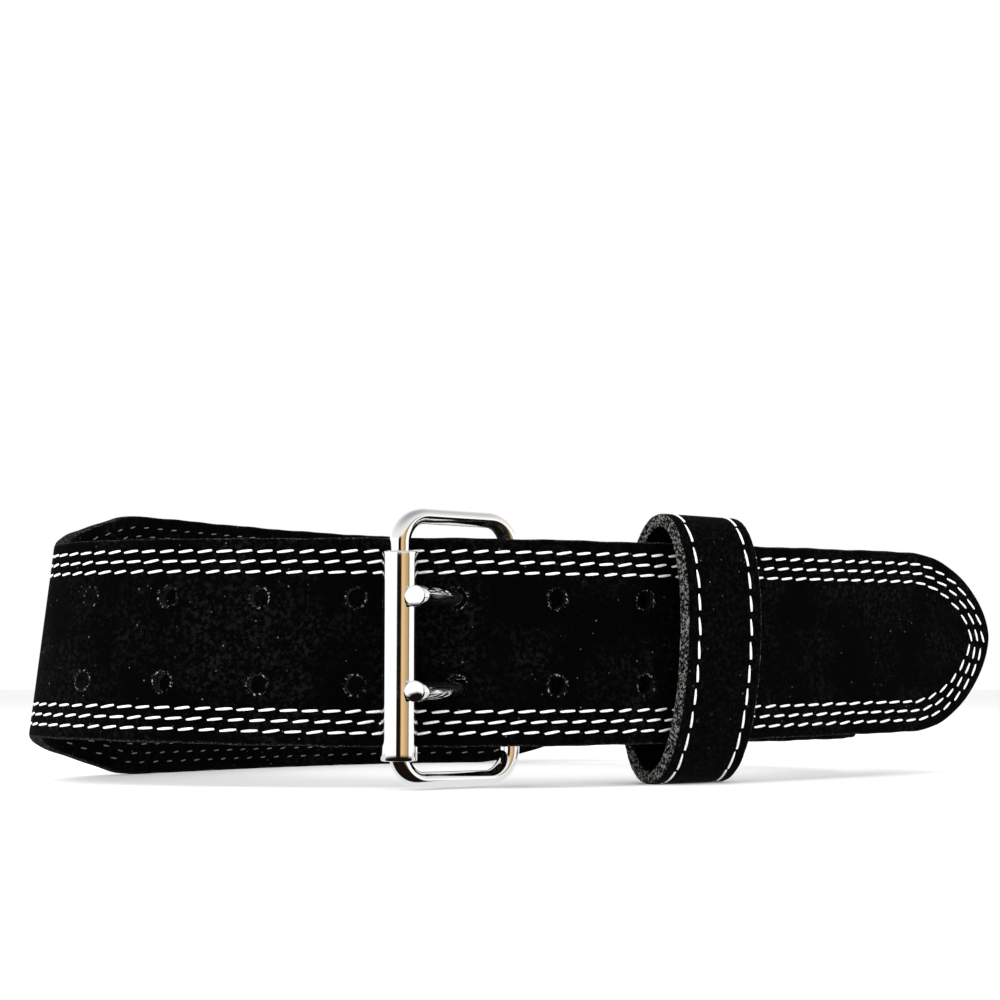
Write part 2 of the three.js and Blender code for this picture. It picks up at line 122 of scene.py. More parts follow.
def unit(rows):
    """Vectors of length one, in the same directions."""
    return rows / np.linalg.norm(rows, axis=-1, keepdims=True)


ring_heading = unit(ring_heading)


def smooth(value, start, end):
    """Share from 0 to 1, easing in and out, of the way from start to end."""
    share = np.clip((value - start) / (end - start), 0, 1)
    return share * share * (3 - 2 * share)


def beside_ring(along, outward):
    """Plan points at lengths along the ring, moved outwards by an offset."""
    along = np.mod(np.atleast_1d(np.asarray(along, float)), RING_LENGTH)
    place = np.stack([np.interp(along, ring_along, ring_points[:, k]) for k in (0, 1)], axis=1)
    heading = np.stack([np.interp(along, ring_along, ring_heading[:, k]) for k in (0, 1)], axis=1)
    sideways = np.stack([heading[:, 1], -heading[:, 0]], axis=1)
    return place + sideways * np.reshape(outward, (-1, 1))


# The plan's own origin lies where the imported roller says
roller_low, roller_high = (np.array(corner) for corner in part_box("roller"))
PLAN_ORIGIN = (roller_low + roller_high)[:2] / 2 - beside_ring(-FRAME_REACH, ROLLER_OUT)[0]
MIDDLE_LEVEL = BACK_HEIGHT / 2


def layer_offset(along):
    """The outer layer starts on the ring and rises onto the inner layer before the buckle."""
    end = RING_LENGTH - 3 * (FOLD_RADIUS + THICKNESS / 2)
    return LAYER * smooth(along, end - RISE_LENGTH, end)


# Directions in plan where the strap passes the pivot bar
pivot_ahead = unit(beside_ring(1 * MM, 0) - beside_ring(0, 0))[0]
pivot_outward = np.array([pivot_ahead[1], -pivot_ahead[0]])


def strap_route():
    """Middle of the leather in plan, from the sewn end round the pivot bar to the free tip."""
    pivot = beside_ring(0, -FOLD_RADIUS)[0]
    lap_at = np.arange(LAP_LENGTH, 0, -ROUTE_STEP)
    closing = smooth(lap_at, 0, LAP_LENGTH / 2)
    lap = beside_ring(lap_at, -2 * FOLD_RADIUS * (1 - closing) + (LAP_BOND - THICKNESS) * closing)
    angle = np.linspace(math.pi, 0, FOLD_STEPS)[:-1, None]
    turn = pivot + FOLD_RADIUS * (pivot_outward * np.cos(angle) - pivot_ahead * np.sin(angle))
    front_at = np.arange(0, LEAVE_AT, ROUTE_STEP)
    front = beside_ring(front_at, layer_offset(front_at))
    heading = unit(front[-1] - front[-3])
    rest_at = np.arange(front_at[-1] + ROUTE_STEP, TIP_AT + PAST_TIP, ROUTE_STEP)
    rest = front[-1] + heading * (rest_at - front_at[-1])[:, None]
    folded = np.vstack([lap, turn, front[:1]])
    run = np.cumsum(np.linalg.norm(np.diff(folded, axis=0), axis=1))
    folded_at = np.concatenate([[0], run]) - run[-1]
    return (np.vstack([folded[:-1], front, rest]),
            np.concatenate([folded_at[:-1], front_at, rest_at]))


route, route_at = strap_route()
LAP_END = route_at[0]
FOLD_END = -math.pi * FOLD_RADIUS
route_heading = unit(np.gradient(route, route_at, axis=0))


def taper_share(along, start):
    """Straight rise from 0 to 1 over a taper, with rounded corners."""
    def area(length):
        inside = np.clip(length, 0, TAPER_LENGTH)
        return inside**2 / (2 * TAPER_LENGTH) + np.maximum(0, length - TAPER_LENGTH)
    length = along - start
    return (area(length + TAPER_CORNER) - area(length - TAPER_CORNER)) / (2 * TAPER_CORNER)


def into_tip(along):
    """Share from 0 where the rounding of the free end starts to 1 at its very end."""
    return np.clip(1 + (along - TIP_AT) / TIP_LENGTH, 0, 1)


def half_height(along):
    """Half the height of the flat-cut strap at a length along it."""
    wide = (taper_share(along, BACK_START - TAPER_LENGTH)
            - taper_share(along, BACK_START + BACK_LENGTH))
    height = STRAP_HEIGHT + (BACK_HEIGHT - STRAP_HEIGHT) * wide
    return height / 2 * (1 - into_tip(along) ** 2) ** TIP_POINT


def strap_level(along):
    """Height of the strap's middle over the back panel's middle."""
    near_taper = BACK_START - TAPER_LENGTH
    far_taper = BACK_START + BACK_LENGTH + TAPER_LENGTH
    near_side = 1 - smooth(along, near_taper / 2, near_taper)
    far_side = smooth(along, far_taper, RING_LENGTH - FRAME_REACH)
    climb = TIP_RISE * smooth(along, RING_LENGTH, TIP_AT) + TIP_SKEW * into_tip(along) ** 2
    return climb - FRONT_SAG * (near_side + far_side)


def strap_lean(along):
    """The lower edge leans outwards round the left bend only."""
    back_end = BACK_START + BACK_LENGTH
    return LEAN * (smooth(along, back_end, back_end + TAPER_LENGTH)
                   - smooth(along, RING_LENGTH - RISE_LENGTH, RING_LENGTH - FRAME_REACH))


def sideways_at(along):
    """Unit vector out of the grain side of the strap, lying flat."""
    ahead = [np.interp(along, route_at, route_heading[:, k]) for k in (0, 1)]
    ahead = unit(np.stack(ahead, axis=-1))
    return np.stack([ahead[..., 1], -ahead[..., 0]], axis=-1)


def bend(along, high, out):
    """Carries points of the flat-cut strap to where the buckled belt holds them."""
    place = np.stack([np.interp(along, route_at, route[:, k]) for k in (0, 1)], axis=-1)
    lean = strap_lean(along)
    leaned_out = out * np.cos(lean) - high * np.sin(lean)
    leaned_up = out * np.sin(lean) + high * np.cos(lean)
    plan = place + sideways_at(along) * leaned_out[..., None] + PLAN_ORIGIN
    return np.concatenate([plan, (strap_level(along) + leaned_up + MIDDLE_LEVEL)[..., None]], -1)


def outline_stations(start, spacing=EDGE_STEP):
    """Lengths along the upper edge, and the edge's outward direction in the flat strip."""
    body = np.linspace(start, TIP_AT - TIP_LENGTH, int((TIP_AT - TIP_LENGTH - start) / spacing))
    turn = np.linspace(0, math.pi / 2, TIP_STEPS)
    tip = TIP_AT - TIP_LENGTH + TIP_LENGTH * np.sin(turn)
    near = 0.2 * MM
    slope = (half_height(body + near) - half_height(body - near)) / (2 * near)
    body_normal = np.stack([-slope, np.ones_like(slope)], axis=1)
    step = np.gradient(half_height(tip), turn), np.gradient(tip, turn)
    tip_normal = np.stack([-step[0], step[1]], axis=1)
    tip_normal[-1] = (1, 0)
    return np.concatenate([body, tip[1:]]), unit(np.vstack([body_normal, tip_normal[1:]]))


STITCH_ROWS = (4.6 * MM, 8.15 * MM, 11.7 * MM)  # inwards from the cut edge
STITCH_DIP = 0.14 * MM  # the thread pulls the leather in by this much
FACE_SPLITS = 9
RIPPLE = 0.10 * MM  # the cut edge wanders by this much
LONG_RIPPLE, SHORT_RIPPLE = 5.7 * MM, 2.3 * MM
RIPPLE_FADE = 4 * MM

# Half of the strip's section from the groove between the two splits, round the softened edge and
# in over the stitch rows, in millimetres: distance in from the edge and height over the middle
edge_section = [(0.20, 0.0), (0.05, 0.30), (0.0, 0.80), (0.03, 1.45), (0.17, 1.95),
                (0.50, 2.30), (1.10, 2.47), (2.10, 2.5), (3.30, 2.5)]
for row in STITCH_ROWS:
    inward = row / MM
    edge_section += [(inward - 0.7, 2.5 - 0.3 * STITCH_DIP / MM), (inward, 2.5 - STITCH_DIP / MM),
                     (inward + 0.7, 2.5 - 0.3 * STITCH_DIP / MM), (inward + 1.75, 2.5)]
edge_section = np.array(edge_section) * MM


def strap_sections():
    """Flat-strip places of every section point: along, high, out, and distance from the edge."""
    at, normal = outline_stations(LAP_END)
    edge = half_height(at)
    inward, thick = edge_section.T
    upper_at = at[:, None] - normal[:, :1] * inward
    upper_high = edge[:, None] - normal[:, 1:] * inward
    share = np.linspace(0, 1, FACE_SPLITS + 2)[1:-1]
    inner_at = upper_at[:, -1:] + 0 * share
    inner_high = upper_high[:, -1:] * (1 - 2 * share)
    face_at = np.hstack([upper_at, inner_at, upper_at[:, ::-1]])
    face_high = np.hstack([upper_high, inner_high, -upper_high[:, ::-1]])
    face_thick = np.concatenate([thick, 0 * share + THICKNESS / 2, thick[::-1]])
    face_in = np.hstack([inward + 0 * edge[:, None], edge[:, None] - np.abs(inner_high),
                         inward[::-1] + 0 * edge[:, None]])
    # the two faces share the groove points at the top and the bottom
    loop_at = np.hstack([face_at, face_at[:, -2:0:-1]])
    loop_high = np.hstack([face_high, face_high[:, -2:0:-1]])
    loop_out = np.concatenate([face_thick, -face_thick[-2:0:-1]]) + 0 * loop_at
    loop_in = np.hstack([face_in, face_in[:, -2:0:-1]])
    ripple = RIPPLE * (np.sin(loop_at / LONG_RIPPLE) + 0.8 * np.sin(loop_at / SHORT_RIPPLE + 1))
    loop_high += ripple * np.sign(loop_high) * np.exp(-loop_in / RIPPLE_FADE)
    return loop_at, loop_high, loop_out, loop_in


def ringed_faces(rows, count, closed=False):
    """Quads between each row of points and the next, every row being a closed loop."""
    spans = rows if closed else rows - 1
    row, step = np.meshgrid(np.arange(spans), np.arange(count), indexing="ij")
    row, step = row.ravel(), step.ravel()
    turn, after = (step + 1) % count, (row + 1) % rows
    return np.stack([row * count + step, row * count + turn,
                     after * count + turn, after * count + step], axis=1).tolist()


def new_piece(name, points, faces, maps=None, sharp=CREASE):
    """A mesh object at the origin, shaded smooth up to an angle, with its maps per corner."""
    mesh = bpy.data.meshes.new(name)
    mesh.from_pydata(np.asarray(points, float).reshape(-1, 3).tolist(), [], faces)
    mesh.update()
    for map_name, values in (maps or {}).items():
        layer = mesh.uv_layers.new(name=map_name)
        corners = np.empty(len(mesh.loops), np.int32)
        mesh.loops.foreach_get("vertex_index", corners)
        layer.uv.foreach_set("vector", np.asarray(values, np.float32)[corners].ravel())
    work = bmesh.new()
    work.from_mesh(mesh)
    bmesh.ops.remove_doubles(work, verts=work.verts, dist=WELD)
    bmesh.ops.recalc_face_normals(work, faces=work.faces)
    work.to_mesh(mesh)
    work.free()
    mesh.shade_smooth()
    mesh.set_sharp_from_angle(angle=sharp)
    piece = bpy.data.objects.new(name, mesh)
    bpy.context.scene.collection.objects.link(piece)
    return piece


def make_strap():
    """The whole strap as one closed skin, with two maps that its suede reads."""
    loop_at, loop_high, loop_out, loop_in = strap_sections()
    rows, count = loop_at.shape
    points = bend(loop_at, loop_high, loop_out)
    faces = ringed_faces(rows, count)
    half = count // 2
    for step in range(half):
        back, back_next = (-step) % count, (-step - 1) % count
        faces.append([step, back, back_next, step + 1] if step and step + 1 < half
                     else list(dict.fromkeys([step, back, back_next, step + 1])))
    maps = {"flat strip": np.stack([loop_at, loop_high], -1).reshape(-1, 2),
            "edge": np.stack([loop_in, loop_out], -1).reshape(-1, 2)}
    return new_piece("strap", points, faces, maps)


strap = make_strap()


# The prong holes
# Eight pairs of round holes are punched through both splits for the two prongs. The pair that
# the prongs go through is pulled long towards the roller, and the fold is slotted for their eyes.
HOLE_DIAMETER = 6.6 * MM
HOLE_SPREAD = 29.3 * MM
HOLE_PITCH = 33 * MM
HOLES_BEHIND = 4
HOLES_AHEAD = 3
HOLE_TO_PIVOT = 20.5 * MM
GAP = 0.3 * MM
WIRE_RADIUS = 3.5 * MM
ROLLER_RADIUS = 6 * MM
PRONG_RADIUS = 3.2 * MM
PRONG_OVER = 0.38  # how far, in radians, a prong goes round the roller
PRONG_DROOPS = (0, 2 * MM)
SLOT_HEIGHT = 7.2 * MM
SLOT_LENGTH = 30 * MM
HOLE_SIDES = 28
PRONG_HOLE_SIDES = 24
LEAD_STEPS, BETWEEN_STEPS, OVER_STEPS = 16, 12, 8
PRONG_BEYOND = 1.3 * PRONG_RADIUS  # straight on past the roller
TORN_FROM, TORN_TO = 3.5 * MM, 4.3 * MM  # the pale fibres round a hole, from its middle
CUT_FROM, CUT_TO = 0.2 * MM, 0.75 * MM  # the dyed cut edge, in from the strap's outline
COARSE_NAP, FINE_NAP, BRUSHED_NAP = 620, 3800, 45  # cells of noise to the metre
BLACK_LEATHER = (0.0003, 0.0003, 0.0003, 1)
LIT_NAP = (0.0055, 0.0055, 0.0058, 1)
TORN_FIBRES = (0.34, 0.33, 0.32, 1)
# the cut edge's pale colour is buff leather and also a painted highlight along the edge
EDGE_DYE, EDGE_BUFF_AND_HIGHLIGHT = (0.001, 0.001, 0.001, 1), (0.075, 0.073, 0.07, 1)
# the hole walls' colours are darkened nearly to black: painted shade inside the holes, over the dyed
# fibres
HOLE_DYE_IN_SHADE, HOLE_BUFF_IN_SHADE = (0.002, 0.002, 0.002, 1), (0.03, 0.028, 0.026, 1)
DUST = (0.28, 0.28, 0.28, 1)
NAP_SHEEN = (0.75, 0.76, 0.8, 1)
pivot_bar = beside_ring(0, -FOLD_RADIUS)[0]
roller_bar = beside_ring(-FRAME_REACH, ROLLER_OUT)[0]
prong_levels = [side * HOLE_SPREAD / 2 - FRONT_SAG for side in (1, -1)]


def swept_tube(path, radius, sides, closed=False, up=(0, 0, 1)):
    """Points and faces of a round bar along a path; the radius may change along it."""
    path = np.asarray(path, float)
    count = len(path)
    if closed:
        ahead = unit(np.roll(path, -1, axis=0) - np.roll(path, 1, axis=0))
    else:
        ahead = unit(np.gradient(path, axis=0))
    side = unit(np.cross(ahead, up))
    rise = np.cross(side, ahead)
    angle = np.linspace(0, 2 * math.pi, sides, endpoint=False)[None, :, None]
    girth = np.broadcast_to(np.reshape(radius, (-1, 1, 1)), (count, 1, 1))
    points = path[:, None] + girth * (side[:, None] * np.cos(angle) + rise[:, None] * np.sin(angle))
    faces = ringed_faces(count, sides, closed)
    if not closed:
        faces.append(list(range(sides))[::-1])
        faces.append([(count - 1) * sides + k for k in range(sides)])
    return points.reshape(-1, 3), faces


def in_frame(plan, level):
    """Plan points and a level over the back panel's middle as points of the whole."""
    plan = np.atleast_2d(plan) + PLAN_ORIGIN
    return np.column_stack([plan, np.full(len(plan), level + MIDDLE_LEVEL)])


def prong_route():
    """Middle of a prong in plan: from its eye through the buckled hole and over the roller."""
    reach = ROLLER_RADIUS + GAP + PRONG_RADIUS
    hole = beside_ring(-HOLE_TO_PIVOT, LAYER)[0]
    to_roller = roller_bar - hole
    length = np.linalg.norm(to_roller)
    heading = math.atan2(to_roller[1], to_roller[0]) + math.asin(reach / length)
    ahead = np.array([math.cos(heading), math.sin(heading)])
    touch = hole + ahead * math.sqrt(length**2 - reach**2)
    start = touch - roller_bar
    turn = -np.linspace(0, PRONG_OVER, OVER_STEPS)[:, None]
    over = roller_bar + np.hstack([start[0] * np.cos(turn) - start[1] * np.sin(turn),
                                   start[0] * np.sin(turn) + start[1] * np.cos(turn)])
    inner = hole - ahead * THICKNESS / 2
    bow = inner - ahead * 2 * PRONG_RADIUS
    t = np.linspace(0, 1, LEAD_STEPS)[:, None]
    lead = pivot_bar * (1 - t) ** 2 + bow * 2 * t * (1 - t) + inner * t**2
    gap = np.linspace(0, 1, BETWEEN_STEPS)[1:-1, None]
    beyond = over[-1] + unit(over[-1] - over[-2]) * PRONG_BEYOND
    return np.vstack([lead, inner * (1 - gap) + over[:1] * gap, over, beyond])


def prong_line(row):
    """The prong's middle at its height: the lower one hangs a little more towards its end."""
    plan = prong_route()
    away = np.linalg.norm(plan - pivot_bar, axis=1)
    line = in_frame(plan, prong_levels[row])
    line[:, 2] -= PRONG_DROOPS[row] * away / away[-1]
    return line


def keep_shape(piece):
    """Turns what a piece's modifiers make of it into its plain mesh."""
    state = bpy.context.evaluated_depsgraph_get()
    shaped = bpy.data.meshes.new_from_object(piece.evaluated_get(state))
    piece.modifiers.clear()
    piece.data = shaped


def punch(piece, points, faces, wall):
    """Cuts a closed shape out of a piece and gives the cut's walls their own material."""
    cutter = new_piece("punch", points, faces)
    cutter.data.materials.append(wall)
    cut = piece.modifiers.new("punch", "BOOLEAN")
    cut.operation, cut.solver, cut.object = "DIFFERENCE", "EXACT", cutter
    cut.material_mode = "TRANSFER"
    keep_shape(piece)
    piece.data.set_sharp_from_angle(angle=CREASE)
    bpy.data.objects.remove(cutter)


def joined(parts):
    """Several sets of points and faces as one."""
    points, faces, start = [], [], 0
    for some_points, some_faces in parts:
        points.append(some_points)
        faces += [[start + corner for corner in face] for face in some_faces]
        start += len(some_points)
    return np.vstack(points), faces


def hole_punches():
    """A round bar through the strap at every hole."""
    parts = []
    for place in range(-HOLES_BEHIND, HOLES_AHEAD + 1):
        along = RING_LENGTH - HOLE_TO_PIVOT + place * HOLE_PITCH
        for side in (1, -1):
            ends = bend(np.full(2, along), np.full(2, side * HOLE_SPREAD / 2),
                        np.array([-1.0, 1.0]) * THICKNESS)
            parts.append(swept_tube(ends, HOLE_DIAMETER / 2, HOLE_SIDES))
    return joined(parts)


class Finish:
    """A socket in a material's nodes. Sums and products of it add Math nodes."""

    def __init__(self, tree, socket=None):
        self.tree, self.socket = tree, socket

    def node(self, kind, settings=None, sockets=None, out=0):
        """Adds any node, with its settings first and then the values or links of its sockets."""
        made = self.tree.nodes.new(kind)
        for name, value in (settings or {}).items():
            setattr(made, name, value)
        for key, value in (sockets or {}).items():
            if isinstance(value, Finish):
                self.tree.links.new(value.socket, made.inputs[key])
            else:
                made.inputs[key].default_value = value
        return Finish(self.tree, made.outputs[out])

    def maths(self, operation, *values):
        return self.node("ShaderNodeMath", {"operation": operation}, dict(enumerate(values)))

    def __add__(self, other):
        return self.maths("ADD", self, other)

    def __sub__(self, other):
        return self.maths("SUBTRACT", self, other)

    def __rsub__(self, other):
        return self.maths("SUBTRACT", other, self)

    def __mul__(self, other):
        return self.maths("MULTIPLY", self, other)

    def __pow__(self, other):
        return self.maths("POWER", self, other)

    __radd__, __rmul__ = __add__, __mul__

    def step(self, start, end, low=0.0, high=1.0):
        """Smooth change from one value to another while this socket goes from start to end."""
        return self.node("ShaderNodeMapRange", {"interpolation_type": "SMOOTHSTEP"}, {
            "Value": self, "From Min": start, "From Max": end, "To Min": low, "To Max": high})

    def noise(self, scale, detail, rough):
        return self.node("ShaderNodeTexNoise", {}, {
            "Vector": self, "Scale": scale, "Detail": detail, "Roughness": rough})

    def blend(self, first, second):
        """Colour between two others, by this socket."""
        return self.node("ShaderNodeMix", {"data_type": "RGBA"}, {0: self, 6: first, 7: second}, 2)

    def split(self):
        return [self.node("ShaderNodeSeparateXYZ", {}, {0: self}, k) for k in range(3)]

    def to(self, shader, socket):
        self.tree.links.new(self.socket, shader.inputs[socket])

    def relief(self, shader, strength, depth):
        """Bump on the shader, with this socket as its height."""
        self.node("ShaderNodeBump", {}, {
            "Strength": strength, "Distance": depth, "Height": self}).to(shader, "Normal")


def new_finish(name, **constants):
    """A material whose shader has its constants set on its own sockets."""
    material = bpy.data.materials.new(name)
    material.use_nodes = True
    shader = material.node_tree.nodes["Principled BSDF"]
    for socket, value in constants.items():
        shader.inputs[socket.replace("_", " ")].default_value = value
    return material, shader, Finish(material.node_tree)


def dust(place, scale, share):
    """Sparse tiny specks: 1 in a speck and 0 elsewhere."""
    near = place.node("ShaderNodeTexVoronoi", {}, {"Vector": place, "Scale": scale})
    pick = place.node("ShaderNodeTexVoronoi", {}, {"Vector": place, "Scale": scale}, 1).split()[0]
    return near.step(0.34, 0.16) * pick.step(1 - share, 1 - share + 0.04)


def suede_dust(place):
    """The fine and the coarse specks that suede catches."""
    return dust(place, 900, 0.02) + dust(place, 380, 0.006)


def suede_finish():
    """Black suede: a short, uneven nap over buff leather, with pale rims round the holes."""
    material, shader, start = new_finish(
        "black suede", Roughness=0.95, Specular_IOR_Level=0.02,
        Sheen_Weight=0.005, Sheen_Roughness=0.55, Sheen_Tint=NAP_SHEEN)
    place = start.node("ShaderNodeTexCoord", out=3)
    strip = start.node("ShaderNodeUVMap", {"uv_map": "flat strip"}).split()
    edge = start.node("ShaderNodeUVMap", {"uv_map": "edge"}).split()
    nap = place.noise(COARSE_NAP, 4, 0.62)
    fibre = place.noise(FINE_NAP, 3, 0.7)
    brushed = place.noise(BRUSHED_NAP, 3, 0.55)
    lightness = nap.step(0.45, 0.68) * brushed.step(0.38, 0.66) + fibre.step(0.5, 0.7) * 0.25
    colour = lightness.blend(BLACK_LEATHER, LIT_NAP)
    # pale fuzz where the punch has torn the fibres round each hole
    first_hole = RING_LENGTH - HOLE_TO_PIVOT - HOLES_BEHIND * HOLE_PITCH
    from_first = strip[0] - first_hole + HOLE_PITCH / 2
    across = from_first.maths("FLOORED_MODULO", from_first, HOLE_PITCH) - HOLE_PITCH / 2
    beside = strip[1].maths("ABSOLUTE", strip[1]) - HOLE_SPREAD / 2
    radius = (across * across + beside * beside) ** 0.5
    holes_end = (HOLES_BEHIND + HOLES_AHEAD + 1) * HOLE_PITCH
    holed = from_first.step(-MM, 0.0) * from_first.step(holes_end, holes_end - MM)
    torn = place.noise(1100, 3, 0.75).step(0.56, 0.66)
    rim = radius.step(TORN_TO, TORN_FROM) * holed * torn
    colour = (rim * 0.85).blend(colour, TORN_FIBRES)
    # dyed cut edges, where the buff leather shows in pale spots; the spots also paint a highlight
    # along the edge
    cut = edge[0].step(CUT_TO, CUT_FROM)
    buff = place.noise(1300, 2, 0.7).step(0.5, 0.66)
    colour = (cut * 0.9).blend(colour, buff.blend(EDGE_DYE, EDGE_BUFF_AND_HIGHLIGHT))
    specks = suede_dust(place)
    colour = (specks * 0.8).blend(colour, DUST)
    colour.to(shader, "Base Color")
    height = nap * 0.5 + fibre * 0.35 + specks * 0.6 - cut * fibre * 0.5
    height.relief(shader, 0.7, 0.35 * MM)
    return material


def shaded_raw_finish():
    """The buff fibres inside a punched hole, stained by the dye and darkened nearly to black as
    painted shade inside the hole.
    """
    material, shader, start = new_finish("raw fibres in painted shade", Roughness=0.95, Specular_IOR_Level=0.15)
    place = start.node("ShaderNodeTexCoord", out=3)
    fibre = place.noise(2600, 4, 0.75)
    fibre.step(0.45, 0.8).blend(HOLE_DYE_IN_SHADE, HOLE_BUFF_IN_SHADE).to(shader, "Base Color")
    fibre.relief(shader, 0.9, 0.4 * MM)
    return material


suede = suede_finish()
shaded_raw_fibres = shaded_raw_finish()
strap.data.materials.append(suede)
punch(strap, *hole_punches(), shaded_raw_fibres)
punch(strap, *joined([swept_tube(prong_line(row), PRONG_RADIUS + GAP, PRONG_HOLE_SIDES)
                      for row in (0, 1)]), shaded_raw_fibres)


def slot_punches():
    """Boxes that open the fold where the prongs' eyes turn."""
    near, far = THICKNESS / 2 + GAP / 2, -2 * FOLD_RADIUS - THICKNESS
    middle, reach = beside_ring(0, 0)[0], pivot_ahead * SLOT_LENGTH / 2
    corners = np.array([middle + reach * end + pivot_outward * out
                        for end, out in ((-1, near), (1, near), (1, far), (-1, far))])
    parts = []
    for level in prong_levels:
        points = np.vstack([in_frame(corners, level + side * SLOT_HEIGHT / 2)
                            for side in (-1, 1)])
        faces = [[0, 1, 2, 3], [4, 7, 6, 5]] + [
            [k, k + 4, (k + 1) % 4 + 4, (k + 1) % 4] for k in range(4)]
        parts.append((points, faces))
    return joined(parts)


punch(strap, *slot_punches(), shaded_raw_fibres)
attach(strap, "root")
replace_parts(strap, "belt_body")


# The stitching on the strap
# Three rows of thick white thread run along both edges and round the tip and hold the two splits
# together. A walking-foot machine sews them with long slanting stitches, and the same rows show
# on the inner face, where the thread is thinner and greyer.
THREAD_RADIUS = 0.52 * MM
STITCH_PITCH = 7.35 * MM
STITCH_LENGTH = 6.3 * MM
STITCH_SLANT = math.radians(7.5)
STITCH_START = 9 * MM  # past the pivot bar, where the rows round the belt begin
ROW_SHIFTS = (0.0, 2.6 * MM, 5.0 * MM)  # how much later each row inwards begins
LAP_MARGIN = 4 * MM
FOLD_MARGIN = 6 * MM
ROW_STEP = 1.5 * MM
CROSS_STEPS = 40
THREAD_SIDES = 6
THICK_END, THIN_END = 1.3, 0.72  # a stitch is plump where the needle comes up


def stitch_tree():
    """Geometry nodes that lay a bowed length of thread at every stitch along the rows."""
    tree = bpy.data.node_groups.new("stitches", "GeometryNodeTree")
    face = tree.interface
    face.new_socket("Rows", in_out="INPUT", socket_type="NodeSocketGeometry")
    for name in ("Pitch", "Length", "Thread Radius", "Sink", "Rise", "Slant", "Scatter"):
        face.new_socket(name, in_out="INPUT", socket_type="NodeSocketFloat")
    face.new_socket("Seed", in_out="INPUT", socket_type="NodeSocketInt")
    face.new_socket("Thread", in_out="INPUT", socket_type="NodeSocketMaterial")
    face.new_socket("Stitches", in_out="OUTPUT", socket_type="NodeSocketGeometry")
    nodes, links = tree.nodes, tree.links
    given = nodes.new("NodeGroupInput").outputs
    ready = nodes.new("NodeGroupOutput").inputs

    def add(kind, settings=None, sockets=None):
        made = nodes.new(kind)
        for name, value in (settings or {}).items():
            setattr(made, name, value)
        for key, value in (sockets or {}).items():
            if isinstance(value, bpy.types.NodeSocket):
                links.new(value, made.inputs[key])
            else:
                made.inputs[key].default_value = value
        return made.outputs

    def maths(operation, *values):
        return add("ShaderNodeMath", {"operation": operation}, dict(enumerate(values)))[0]

    def point(x, z):
        return add("ShaderNodeCombineXYZ", {}, {"X": x, "Z": z})[0]

    half = maths("MULTIPLY", given["Length"], 0.5)
    sink = maths("MULTIPLY", given["Sink"], -1.0)
    arch = add("GeometryNodeCurveQuadraticBezier", {}, {
        "Resolution": THREAD_SIDES, "Start": point(maths("MULTIPLY", half, -1.0), sink),
        "Middle": point(0.0, given["Rise"]), "End": point(half, sink)})[0]
    along_stitch = add("GeometryNodeSplineParameter")[0]
    swell = add("ShaderNodeMapRange", {}, {
        "Value": along_stitch, "From Min": 0.1, "From Max": 0.8,
        "To Min": THICK_END, "To Max": THIN_END})[0]
    arch = add("GeometryNodeSetCurveRadius", {}, {"Curve": arch, "Radius": swell})[0]
    round_thread = add("GeometryNodeCurvePrimitiveCircle", {"mode": "RADIUS"}, {
        "Resolution": THREAD_SIDES, "Radius": given["Thread Radius"]})[0]
    thread = add("GeometryNodeCurveToMesh", {}, {
        "Curve": arch, "Profile Curve": round_thread, "Fill Caps": True})[0]
    thread = add("GeometryNodeSetShadeSmooth", {}, {"Geometry": thread})[0]
    rows = add("GeometryNodeMeshToCurve", {}, {"Mesh": given["Rows"]})[0]
    dots = add("GeometryNodeCurveToPoints", {"mode": "LENGTH"}, {
        "Curve": rows, "Length": given["Pitch"]})
    outward = add("GeometryNodeInputNamedAttribute", {"data_type": "FLOAT_VECTOR"}, {
        "Name": "outward"})[0]
    stand = add("FunctionNodeAlignRotationToVector", {"axis": "Z"}, {"Vector": outward})[0]
    run = add("FunctionNodeAlignRotationToVector", {"axis": "X", "pivot_axis": "Z"}, {
        "Rotation": stand, "Vector": dots["Tangent"]})[0]

    def scattered(seed_step, spread):
        low = maths("MULTIPLY", spread, -1.0)
        seed = maths("ADD", given["Seed"], float(seed_step))
        return add("FunctionNodeRandomValue", {"data_type": "FLOAT"}, {
            "Min": low, "Max": spread, "Seed": seed})[1]

    slant = maths("ADD", given["Slant"], scattered(1, maths("MULTIPLY", given["Scatter"], 0.06)))
    about = add("GeometryNodeInputNamedAttribute", {"data_type": "FLOAT"}, {"Name": "about"})[0]
    slant = maths("ADD", slant, about)
    tilt = add("FunctionNodeAxisAngleToRotation", {}, {"Axis": (0, 0, 1), "Angle": slant})[0]
    turned = add("FunctionNodeRotateRotation", {"rotation_space": "LOCAL"}, {
        "Rotation": run, "Rotate By": tilt})[0]
    size = maths("ADD", 1.0, scattered(2, maths("MULTIPLY", given["Scatter"], 0.08)))
    size = add("ShaderNodeCombineXYZ", {}, {"X": size, "Y": 1.0, "Z": 1.0})[0]
    sewn = add("GeometryNodeInstanceOnPoints", {}, {
        "Points": dots["Points"], "Instance": thread, "Rotation": turned, "Scale": size})[0]
    solid = add("GeometryNodeRealizeInstances", {}, {"Geometry": sewn})[0]
    done = add("GeometryNodeSetMaterial", {}, {"Geometry": solid, "Material": given["Thread"]})[0]
    links.new(done, ready["Stitches"])
    return tree


stitches = stitch_tree()


